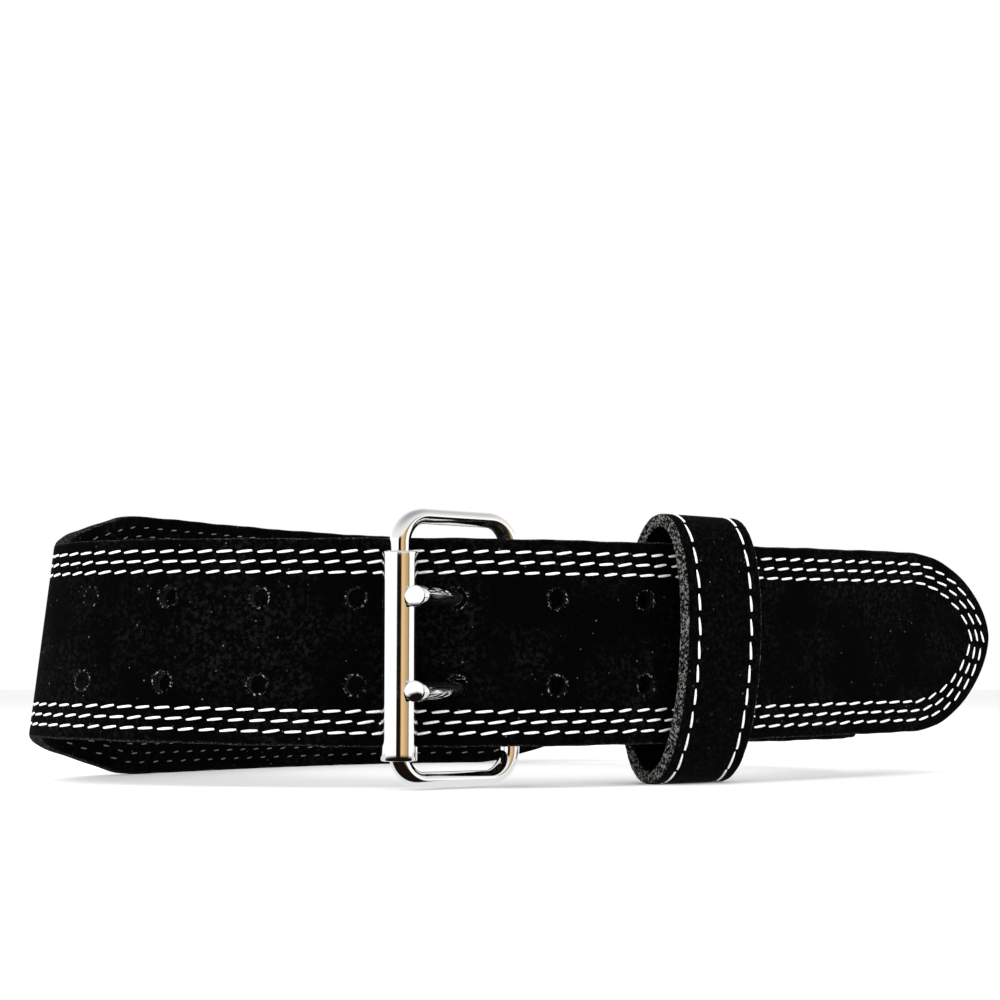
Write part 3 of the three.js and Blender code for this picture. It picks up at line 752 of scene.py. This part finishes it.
def sew(name, rows, sizes):
    """Runs the stitch nodes over rows of (points, outward, turn) and keeps a plain mesh."""
    points = np.vstack([row[0] for row in rows])
    outward = np.vstack([row[1] for row in rows])
    edges, start = [], 0
    for places, _, _ in rows:
        edges += [(start + k, start + k + 1) for k in range(len(places) - 1)]
        start += len(places)
    mesh = bpy.data.meshes.new(name)
    mesh.from_pydata(points.tolist(), edges, [])
    away = mesh.attributes.new("outward", "FLOAT_VECTOR", "POINT")
    away.data.foreach_set("vector", outward.astype(np.float32).ravel())
    # the thick end of every stitch points the same way, also where a row runs back from the tip
    about = mesh.attributes.new("about", "FLOAT", "POINT")
    about.data.foreach_set("value", np.concatenate([turned for _, _, turned in rows]))
    piece = bpy.data.objects.new(name, mesh)
    bpy.context.scene.collection.objects.link(piece)
    sewing = piece.modifiers.new("stitches", "NODES")
    sewing.node_group = stitches
    for item in stitches.interface.items_tree:
        if item.item_type == "SOCKET" and item.in_out == "INPUT" and item.name in sizes:
            sewing[item.identifier] = sizes[item.name]
    keep_shape(piece)
    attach(piece, "root")


def edge_row(start, inward, side, end=None):
    """Row in the flat strip at a distance in from the edge, round the tip unless it ends early."""
    at, normal = outline_stations(start, ROW_STEP)
    row_at = at - normal[:, 0] * inward
    row_high = half_height(at) - normal[:, 1] * inward
    if end is not None:
        keep = row_at < end
        row_at, row_high = row_at[keep], row_high[keep]
        return row_at, row_high * side
    return np.concatenate([row_at, row_at[-2::-1]]), np.concatenate([row_high, -row_high[-2::-1]])


def on_leather(row_at, row_high, face):
    """Places of a flat-strip row on the grain side (1) or the inner side (-1), and outwards."""
    out = np.full_like(row_at, face * (THICKNESS / 2 - STITCH_DIP))
    places = bend(row_at, row_high, out)
    outward = bend(row_at, row_high, out + face * MM) - places
    turned = np.where(np.gradient(row_at) < 0, math.pi, 0.0)
    return places, unit(outward), turned


def cross_row(at, reach, face):
    """A short row straight across the strap."""
    high = np.linspace(-reach, reach, CROSS_STEPS)
    return on_leather(np.full(CROSS_STEPS, at), high, face)


def thread_finish(name, light, shade, rough):
    """Twisted thread: pale strands with painted shade in the furrows between them."""
    material, shader, start = new_finish(name, Roughness=rough, Specular_IOR_Level=0.3,
                                         Sheen_Weight=0.1)
    place = start.node("ShaderNodeTexCoord", out=3)
    strand = place.noise(1900, 2, 0.6)
    soil = place.noise(60, 2, 0.5)
    # the shade colour is painted shade in the furrows between the strands
    (strand.step(0.3, 0.62) * 0.8 + soil * 0.2).blend(shade, light).to(shader, "Base Color")
    strand.relief(shader, 0.5, 0.15 * MM)
    return material


white_thread = thread_finish("white thread", (0.88, 0.88, 0.86, 1), (0.55, 0.55, 0.54, 1), 0.75)
grey_thread = thread_finish("grey thread", (0.20, 0.20, 0.20, 1), (0.06, 0.06, 0.06, 1), 0.85)
outer_sizes = {"Pitch": STITCH_PITCH, "Length": STITCH_LENGTH, "Thread Radius": THREAD_RADIUS,
               "Sink": 0.56 * MM, "Rise": 0.42 * MM, "Slant": STITCH_SLANT, "Scatter": 1.0,
               "Seed": 3, "Thread": white_thread}
outer_rows = [on_leather(*edge_row(STITCH_START + shift, inward, 1), 1)
              for inward, shift in zip(STITCH_ROWS, ROW_SHIFTS)]
lap_stop = FOLD_END - FOLD_MARGIN
outer_rows += [on_leather(*edge_row(LAP_END + LAP_MARGIN, inward, side, lap_stop), 1)
               for inward in STITCH_ROWS for side in (1, -1)]
outer_rows += [cross_row(at, STRAP_HEIGHT / 2 - STITCH_ROWS[-1] - 2 * MM, 1)
               for at in (LAP_END + STITCH_ROWS[0], lap_stop)]
sew("stitches_outer", outer_rows, outer_sizes)
inner_sizes = dict(outer_sizes, Seed=11, Thread=grey_thread)
inner_sizes.update({"Thread Radius": 0.3 * MM, "Length": 3.6 * MM, "Sink": 0.4 * MM,
                    "Rise": 0.28 * MM})
sew("stitches_inner", [on_leather(*edge_row(LAP_LENGTH + LAP_MARGIN + shift, inward, 1), -1)
                       for inward, shift in zip(STITCH_ROWS, ROW_SHIFTS)], inner_sizes)


# The keeper loop
# A band of the same suede, two splits thick with raw cut edges, is sewn into a loop that slides
# along the belt. It is stiff and a little too large, so it bows round both layers and stands on
# the floor. One row of white stitches runs near each edge.
KEEPER_AT = 69 * MM
KEEPER_WIDTH = 34 * MM
KEEPER_HEIGHT = 94.8 * MM
KEEPER_DEPTH = 38.2 * MM
KEEPER_THICKNESS = 4.8 * MM
KEEPER_SQUARE = 2.15  # power of its bowed outline: 2 is an ellipse, more is squarer
KEEPER_SLOPE = 0.084  # its top leans outwards, this much for each unit of height
KEEPER_STITCH = 5.2 * MM
KEEPER_PITCH = 8 * MM
KEEPER_STITCH_LENGTH = 7 * MM
KEEPER_SLANT = math.radians(4)
KEEPER_STEPS = 220
FRAYED = 0.09 * MM  # how unevenly the raw edges are cut
KEEPER_LIT_NAP = (0.0045, 0.0045, 0.0047, 1)
KEEPER_DYE, KEEPER_BUFF = (0.002, 0.002, 0.002, 1), (0.19, 0.185, 0.175, 1)


def bowed(size, share):
    """One coordinate of the loop's bowed outline, for a share between -1 and 1."""
    return size * np.sign(share) * np.abs(share) ** (2 / KEEPER_SQUARE)


def keeper_middle():
    """Places in plan and height round the middle of the loop's wall, and the wall's outward."""
    level = KEEPER_HEIGHT / 2 - BACK_HEIGHT / 2
    corners = np.array([1, -1]) * STRAP_HEIGHT / 2 + float(strap_level(KEEPER_AT)) - level
    share = np.minimum(1, np.abs(corners) / (KEEPER_HEIGHT / 2 - KEEPER_THICKNESS))
    reach = (1 - share ** KEEPER_SQUARE) ** (1 / KEEPER_SQUARE)
    seat = -(KEEPER_DEPTH / 2 - KEEPER_THICKNESS) * reach - KEEPER_SLOPE * corners
    centre = beside_ring(KEEPER_AT, LAYER + THICKNESS / 2 + 2 * GAP + seat.max())[0]
    outward = sideways_at(np.array([RING_LENGTH + KEEPER_AT]))[0]
    angle = np.linspace(0, 2 * math.pi, KEEPER_STEPS, endpoint=False)
    wall = KEEPER_THICKNESS / 2
    out = bowed(KEEPER_DEPTH / 2 - wall, np.cos(angle))
    high = bowed(KEEPER_HEIGHT / 2 - wall, np.sin(angle))
    ahead_out = np.roll(out, -1) - np.roll(out, 1)
    ahead_high = np.roll(high, -1) - np.roll(high, 1)
    facing = np.arctan2(ahead_high, ahead_out) - math.pi / 2
    return centre, outward, level, out, high, facing


keeper_centre, keeper_outward, keeper_level, loop_out, loop_high, loop_facing = keeper_middle()
keeper_along = np.array([-keeper_outward[1], keeper_outward[0]])


def on_keeper(wide, thick):
    """Points of the leaning loop at places across its width and through its wall."""
    out = loop_out[:, None] + thick * np.cos(loop_facing)[:, None]
    high = loop_high[:, None] + thick * np.sin(loop_facing)[:, None]
    out = out + KEEPER_SLOPE * high
    plan = (keeper_centre + PLAN_ORIGIN + keeper_outward * out[..., None]
            + keeper_along * (wide + 0 * out)[..., None])
    return np.concatenate([plan, (high + keeper_level + MIDDLE_LEVEL)[..., None]], -1)


def make_keeper():
    """The loop, its wall's section in millimetres: place across its width and through its wall."""
    half, wall = KEEPER_WIDTH / 2 / MM, KEEPER_THICKNESS / 2 / MM
    row = half - KEEPER_STITCH / MM
    dip = STITCH_DIP / MM
    quarter = [(0, wall), (row - 3, wall), (row - 0.8, wall - 0.3 * dip), (row, wall - dip),
               (row + 0.8, wall - 0.3 * dip), (row + 2, wall), (half - 1.0, wall - 0.03),
               (half - 0.45, wall - 0.18), (half - 0.12, wall - 0.5), (half, wall - 1.1),
               (half - 0.04, 0.5), (half - 0.22, 0)]
    upper = np.array([(-wide, thick) for wide, thick in quarter[:0:-1]] + quarter)
    section = np.vstack([upper, upper[-2:0:-1] * (1, -1)]) * MM
    wide, thick = section[:, 0], section[:, 1]
    rough = np.random.default_rng(5).normal(0, FRAYED, (KEEPER_STEPS, len(section)))
    rough *= smooth(np.abs(wide), KEEPER_WIDTH / 2 - 0.9 * MM, KEEPER_WIDTH / 2 - 0.1 * MM)
    points = on_keeper(wide + rough * np.sign(wide), thick[None, :] + 0 * rough)
    inward = KEEPER_WIDTH / 2 - np.abs(wide)
    maps = {"edge": np.stack([np.broadcast_to(inward, points.shape[:2]),
                              np.broadcast_to(thick, points.shape[:2])], -1).reshape(-1, 2)}
    return new_piece("keeper", points, ringed_faces(KEEPER_STEPS, len(section), True), maps)


def keeper_finish():
    """The same black suede, with raw grey-brown fibres standing out of its cut edges."""
    material, shader, start = new_finish(
        "keeper suede", Roughness=0.9, Specular_IOR_Level=0.02,
        Sheen_Weight=0.005, Sheen_Roughness=0.5, Sheen_Tint=NAP_SHEEN)
    place = start.node("ShaderNodeTexCoord", out=3)
    edge = start.node("ShaderNodeUVMap", {"uv_map": "edge"}).split()
    nap = place.noise(COARSE_NAP, 4, 0.62)
    fibre = place.noise(2400, 4, 0.75)
    lightness = nap.step(0.45, 0.7) * 0.7 + fibre.step(0.5, 0.7) * 0.2
    colour = lightness.blend(BLACK_LEATHER, KEEPER_LIT_NAP)
    cut = edge[0].step(CUT_TO, CUT_FROM)
    grain = place.noise(1150, 2, 0.7)
    colour = (cut * 0.95).blend(colour, grain.step(0.47, 0.62).blend(KEEPER_DYE, KEEPER_BUFF))
    specks = suede_dust(place)
    colour = (specks * 0.8).blend(colour, DUST)
    colour.to(shader, "Base Color")
    height = nap * 0.4 + fibre * (0.35 + cut * 0.9) + specks * 0.6
    height.relief(shader, 0.8, 0.4 * MM)
    return material


keeper = make_keeper()
keeper.data.materials.append(keeper_finish())
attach(keeper, "root")
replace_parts(keeper, "keeper_loop")
keeper_rows = []
for side in (-1, 1):
    across = np.array([side * (KEEPER_WIDTH / 2 - KEEPER_STITCH)])
    surface = KEEPER_THICKNESS / 2 - STITCH_DIP
    seam = on_keeper(across, surface)[:, 0]
    away = on_keeper(across, surface + MM)[:, 0] - seam
    keeper_rows.append((np.vstack([seam, seam[:1]]), np.vstack([away, away[:1]]),
                        np.zeros(len(seam) + 1)))
keeper_sizes = dict(outer_sizes, Pitch=KEEPER_PITCH, Length=KEEPER_STITCH_LENGTH,
                    Slant=KEEPER_SLANT, Seed=21)
sew("stitches_keeper", keeper_rows, keeper_sizes)


# The buckle's frame
# One length of steel wire bent into a rounded rectangle, butt-welded on the pivot bar inside the
# fold and chrome plated. Its far bar carries the roller.
FRAME_HEIGHT = 93 * MM
FRAME_CORNER = 9.5 * MM
FRAME_DROP = 1.8 * MM
SIDE_BAR_HEIGHT = 5.2 * MM
CORNER_STEPS = 22
WIRE_SIDES = 40
frame_level = -FRONT_SAG - FRAME_DROP


def frame_route():
    """Middle of the wire round the rectangle, and the level direction square to both bars."""
    across = roller_bar - pivot_bar
    reach = np.linalg.norm(across)
    across = across / reach
    half = FRAME_HEIGHT / 2 - SIDE_BAR_HEIGHT / 2
    places = []
    corners = ((reach - FRAME_CORNER, half - FRAME_CORNER), (FRAME_CORNER, half - FRAME_CORNER),
               (FRAME_CORNER, FRAME_CORNER - half), (reach - FRAME_CORNER, FRAME_CORNER - half))
    for quarter, (far, high) in enumerate(corners):
        for turn in np.linspace(0, math.pi / 2, CORNER_STEPS) + quarter * math.pi / 2:
            plan = pivot_bar + across * (far + FRAME_CORNER * math.cos(turn))
            places.append(in_frame(plan, high + FRAME_CORNER * math.sin(turn) + frame_level)[0])
    return np.array(places), np.array([across[1], -across[0], 0])


def make_frame():
    """Sweeps the wire, pressed flatter where it runs level between the two bars."""
    path, facing = frame_route()
    points, faces = swept_tube(path, WIRE_RADIUS, WIRE_SIDES, True, facing)
    ahead = unit(np.roll(path, -1, axis=0) - np.roll(path, 1, axis=0))
    flat = SIDE_BAR_HEIGHT / 2 / WIRE_RADIUS
    flat = flat + (1 - flat) * ahead[:, 2:] ** 2
    offset = points.reshape(len(path), -1, 3) - path[:, None]
    through = (offset @ facing)[..., None] * facing
    points = path[:, None] + through + (offset - through) * flat[:, None]
    return new_piece("buckle_wire", points, faces)


def chrome_finish():
    """Bright chrome plate, faintly hazy and uneven from polishing, with a few small pits."""
    material, shader, start = new_finish("chrome plate", Metallic=1.0)
    place = start.node("ShaderNodeTexCoord", out=3)
    haze = place.noise(120, 3, 0.6)
    pits = dust(place, 300, 0.015)
    warm = place.noise(18, 2, 0.5)
    tone = warm.step(0.35, 0.7).blend((0.86, 0.865, 0.87, 1), (0.84, 0.82, 0.78, 1))
    (pits * 0.6).blend(tone, (0.25, 0.22, 0.2, 1)).to(shader, "Base Color")
    (haze.step(0.4, 0.8, 0.035, 0.12) + pits * 0.3).to(shader, "Roughness")
    (haze + place.noise(900, 2, 0.5) * 0.2).relief(shader, 0.07, 0.1 * MM)
    return material


chrome = chrome_finish()
wire = make_frame()
wire.data.materials.append(chrome)
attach(wire, "root")
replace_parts(wire, "buckle_frame")


# The roller
# A tube rolled from thin steel sheet and chromed, so it has a fine seam along its length. It
# turns loosely on the frame's bar, and the edges of its ends are rounded over.
ROLLER_LENGTH = 69 * MM
ROLLER_BORE = 9.8 * MM
ROLLER_DROP = 3 * MM
ROLLER_SIDES = 72
SEAM_AT = math.radians(60)
SEAM_WIDTH = 0.06  # in radians
SEAM_DEPTH = 0.02  # share of the tube's radius


def make_roller():
    """The tube, turned from a profile in millimetres: radius and height over its middle."""
    half = ROLLER_LENGTH / 2 / MM
    outer, bore = ROLLER_RADIUS / MM, ROLLER_BORE / 2 / MM
    profile = [(bore, -half + 0.15), (bore + 0.18, -half), (outer - 0.55, -half),
               (outer - 0.25, -half + 0.08), (outer - 0.07, -half + 0.28), (outer, -half + 0.6)]
    profile += [(outer, high) for high in np.linspace(-half + 3, half - 3, 12)]
    profile += [(radius, -high) for radius, high in profile[5::-1]]
    profile = np.array(profile) * MM
    angle = np.linspace(0, 2 * math.pi, ROLLER_SIDES, endpoint=False)
    away = np.abs((angle - SEAM_AT + math.pi) % (2 * math.pi) - math.pi)
    groove = 1 - SEAM_DEPTH * np.exp(-(away / SEAM_WIDTH) ** 2)
    middle = in_frame(roller_bar, frame_level - ROLLER_DROP)[0]
    on_outside = profile[:, :1] > ROLLER_RADIUS - 0.5 * MM
    radius = profile[:, 0][:, None] * np.where(on_outside, groove[None], 1)
    points = np.stack([middle[0] + radius * np.cos(angle), middle[1] + radius * np.sin(angle),
                       middle[2] + profile[:, 1][:, None] + 0 * radius], -1)
    return new_piece("roller_tube", points, ringed_faces(len(profile), ROLLER_SIDES, True))


roller = make_roller()
roller.data.materials.append(chrome)
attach(roller, "root")
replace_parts(roller, "roller")


# The prongs
# Two chromed steel prongs, each bent into an eye that hinges on the pivot bar. They come out
# through the buckled pair of holes and lie over the roller, and their ends are cut off at a slant.
PRONG_EYE_WALL = 3.6 * MM
EYE_STEPS = 48
EYE_SIDES = 20
SHAFT_SIDES = 32
SHAFT_FLARE = 0.10  # share by which a prong thickens towards its end
FLARE_LENGTH = 5 * MM
END_BEVEL = 0.35 * MM
SHAFT_CLEAR = 0.6 * MM  # the shaft starts this far into its eye's wall
PRONG_CREASE = math.radians(50)
SORT_ALONG = (1.0, 0.618, 0.382)  # an odd direction, along which no two points are level


def make_prong(name, row):
    """A round shaft whose end is cut at a slant, and the eye that it hinges on."""
    line = prong_line(row)
    eye_turn = np.linspace(0, 2 * math.pi, EYE_STEPS, endpoint=False)
    eye_middle = WIRE_RADIUS + GAP + PRONG_EYE_WALL / 2
    eye_round = np.stack([np.cos(eye_turn), np.sin(eye_turn)], 1)
    eye = in_frame(pivot_bar + eye_middle * eye_round, prong_levels[row])
    eye_points, eye_faces = swept_tube(eye, PRONG_EYE_WALL / 2, EYE_SIDES, True)
    eye_points[:, 2] = (eye_points[:, 2] - eye[0, 2]) * 2 * PRONG_RADIUS / PRONG_EYE_WALL + eye[0, 2]
    away = np.linalg.norm(line[:, :2] - line[0, :2], axis=1)
    shaft = line[away > WIRE_RADIUS + GAP + SHAFT_CLEAR]
    to_end = np.linalg.norm(shaft - shaft[-2], axis=1)
    girth = PRONG_RADIUS * (1 + SHAFT_FLARE * smooth(-to_end, -FLARE_LENGTH, 0))
    prong = new_piece(name, *swept_tube(shaft, girth, SHAFT_SIDES), sharp=PRONG_CREASE)
    # the shears leave a slanting flat end, turned a little to the front
    outwards = sideways_at(np.array([RING_LENGTH - FRAME_REACH]))[0]
    facing = unit(shaft[-1] - shaft[-2]) + np.append(outwards, 0)
    work = bmesh.new()
    work.from_mesh(prong.data)
    cut = bmesh.ops.bisect_plane(work, geom=work.verts[:] + work.edges[:] + work.faces[:],
                                 dist=WELD, plane_co=shaft[-2], plane_no=facing,
                                 clear_outer=True)
    rim = [item for item in cut["geom_cut"] if isinstance(item, bmesh.types.BMEdge)]
    bmesh.ops.contextual_create(work, geom=rim)
    bmesh.ops.bevel(work, geom=rim, offset=END_BEVEL, segments=3, profile=0.5, affect="EDGES")
    ring = bpy.data.meshes.new("eye")
    ring.from_pydata(eye_points.tolist(), [], eye_faces)
    work.from_mesh(ring)
    bmesh.ops.recalc_face_normals(work, faces=work.faces)
    # the cut leaves its points and faces in a new order each time
    work.verts.sort(key=lambda vert: vert.co.dot(SORT_ALONG))
    work.faces.sort(key=lambda face: face.calc_center_median().dot(SORT_ALONG))
    work.to_mesh(prong.data)
    work.free()
    prong.data.shade_smooth()
    prong.data.set_sharp_from_angle(angle=PRONG_CREASE)
    prong.data.materials.append(chrome)
    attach(prong, "root")
    return prong


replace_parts(make_prong("prong_top", 0), "prong_upper")
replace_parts(make_prong("prong_bottom", 1), "prong_lower")


# The floor, the light and the camera
# A pale studio floor and a wide white room light the belt softly from all round, and the camera
# stands in front of the buckle, a little over the floor, looking slightly up.
FLOOR_REACH = 30
PAPER_REACH, PAPER_FRONT, PAPER_BACK = 0.26, -0.112, 0.2
PAPER_LEVEL = -0.2 * MM
CAMERA_RIGHT, CAMERA_AWAY, CAMERA_HEIGHT = 0.0132, 0.7199, 0.0336
LENS = 64.8
SENSOR = 36
PHOTO_WIDTH = 1000
HORIZON_BELOW = 188  # pixels from the photo's middle down to the horizon
pale_floor = new_finish("pale floor", Base_Color=(0.93, 0.93, 0.93, 1), Roughness=0.9,
                        Specular_IOR_Level=0.1)[0]


def level_sheet(name, right, front, back, level):
    """A flat rectangle of the stage, as far to the left as to the right."""
    corners = [(-right, front, level), (right, front, level), (right, back, level),
               (-right, back, level)]
    mesh = bpy.data.meshes.new(name)
    mesh.from_pydata(corners, [], [(0, 1, 2, 3)])
    sheet = bpy.data.objects.new(name, mesh)
    bpy.context.scene.collection.objects.link(sheet)
    mesh.materials.append(pale_floor)
    return sheet


floor = level_sheet("floor", FLOOR_REACH, -FLOOR_REACH, FLOOR_REACH, 0)
floor.visible_glossy = False
# the sheet of paper right under the belt, which only the chrome sees
paper = level_sheet("paper", PAPER_REACH, PAPER_FRONT, PAPER_BACK, PAPER_LEVEL)
paper.visible_camera = paper.visible_diffuse = paper.visible_shadow = False

room = bpy.data.worlds.new("room")
bpy.context.scene.world = room
room.use_nodes = True


def room_colour(start):
    """White all round for the leather; for the chrome, the things that stand about the room."""
    toward = start.node("ShaderNodeTexCoord").split()
    turn = toward[0].maths("ARCTAN2", toward[0], toward[1] * -1.0) * (180 / math.pi)
    height = toward[2].maths("ARCSINE", toward[2]) * (180 / math.pi)
    white, dark = (1.25, 1.25, 1.25, 1), (0.010, 0.006, 0.004, 1)
    wood, shade = (0.95, 0.62, 0.31, 1), (0.30, 0.19, 0.08, 1)
    grain = turn.step(18, 58).blend(wood, (0.52, 0.37, 0.17, 1))
    # in degrees: to the right from straight behind the camera, or up from the level
    level = turn.step(-19, -13).blend(white, dark)
    level = turn.step(8, 18).blend(level, grain)
    level = turn.step(57, 61).blend(level, shade)
    level = turn.step(64, 69).blend(level, white)
    ceiling = height.step(15, 85).blend((1.0, 1.0, 1.0, 1), (0.42, 0.43, 0.45, 1))
    around = height.step(-11, -5).blend(dark, level)
    around = height.step(13, 19).blend(around, ceiling)
    shiny = start.node("ShaderNodeLightPath", out=3)
    return shiny.blend((1, 1, 1, 1), around)


sky = room.node_tree.nodes["Background"]
room_colour(Finish(room.node_tree)).to(sky, "Color")
sky.inputs["Strength"].default_value = 1.0


def soft_light(name, place, aim, size, power):
    """A rectangular lamp that faces its aim and isn't mirrored in the chrome."""
    light = bpy.data.lights.new(name, "AREA")
    light.shape, light.size, light.size_y, light.energy = "RECTANGLE", size[0], size[1], power
    lamp = bpy.data.objects.new(name, light)
    lamp.location = place
    away = np.array(place, float) - np.array(aim, float)
    across = math.hypot(away[0], away[1])
    lamp.rotation_euler = (math.atan2(across, away[2]), 0, math.atan2(away[0], -away[1]))
    lamp.visible_glossy = False
    bpy.context.scene.collection.objects.link(lamp)


soft_light("left_window", (-0.9, -0.9, 0.7), (0, -0.1, 0.05), (0.7, 1.0), 14)
soft_light("right_window", (1.0, -0.8, 0.5), (0, -0.1, 0.05), (0.4, 0.9), 7)
soft_light("overhead", (0, 0, 1.6), (0, 0, 0), (1.6, 1.2), 10)

view = bpy.data.cameras.new("camera")
view.sensor_width, view.lens = SENSOR, LENS
camera = bpy.data.objects.new("camera", view)
camera.location = (PLAN_ORIGIN[0] + CAMERA_RIGHT, PLAN_ORIGIN[1] - CAMERA_AWAY, CAMERA_HEIGHT)
look_up = math.atan2(HORIZON_BELOW / PHOTO_WIDTH, LENS / SENSOR)
camera.rotation_euler = (math.pi / 2 + look_up, 0, 0)
bpy.context.scene.collection.objects.link(camera)
bpy.context.scene.camera = camera
bpy.context.scene.view_settings.view_transform = "Standard"
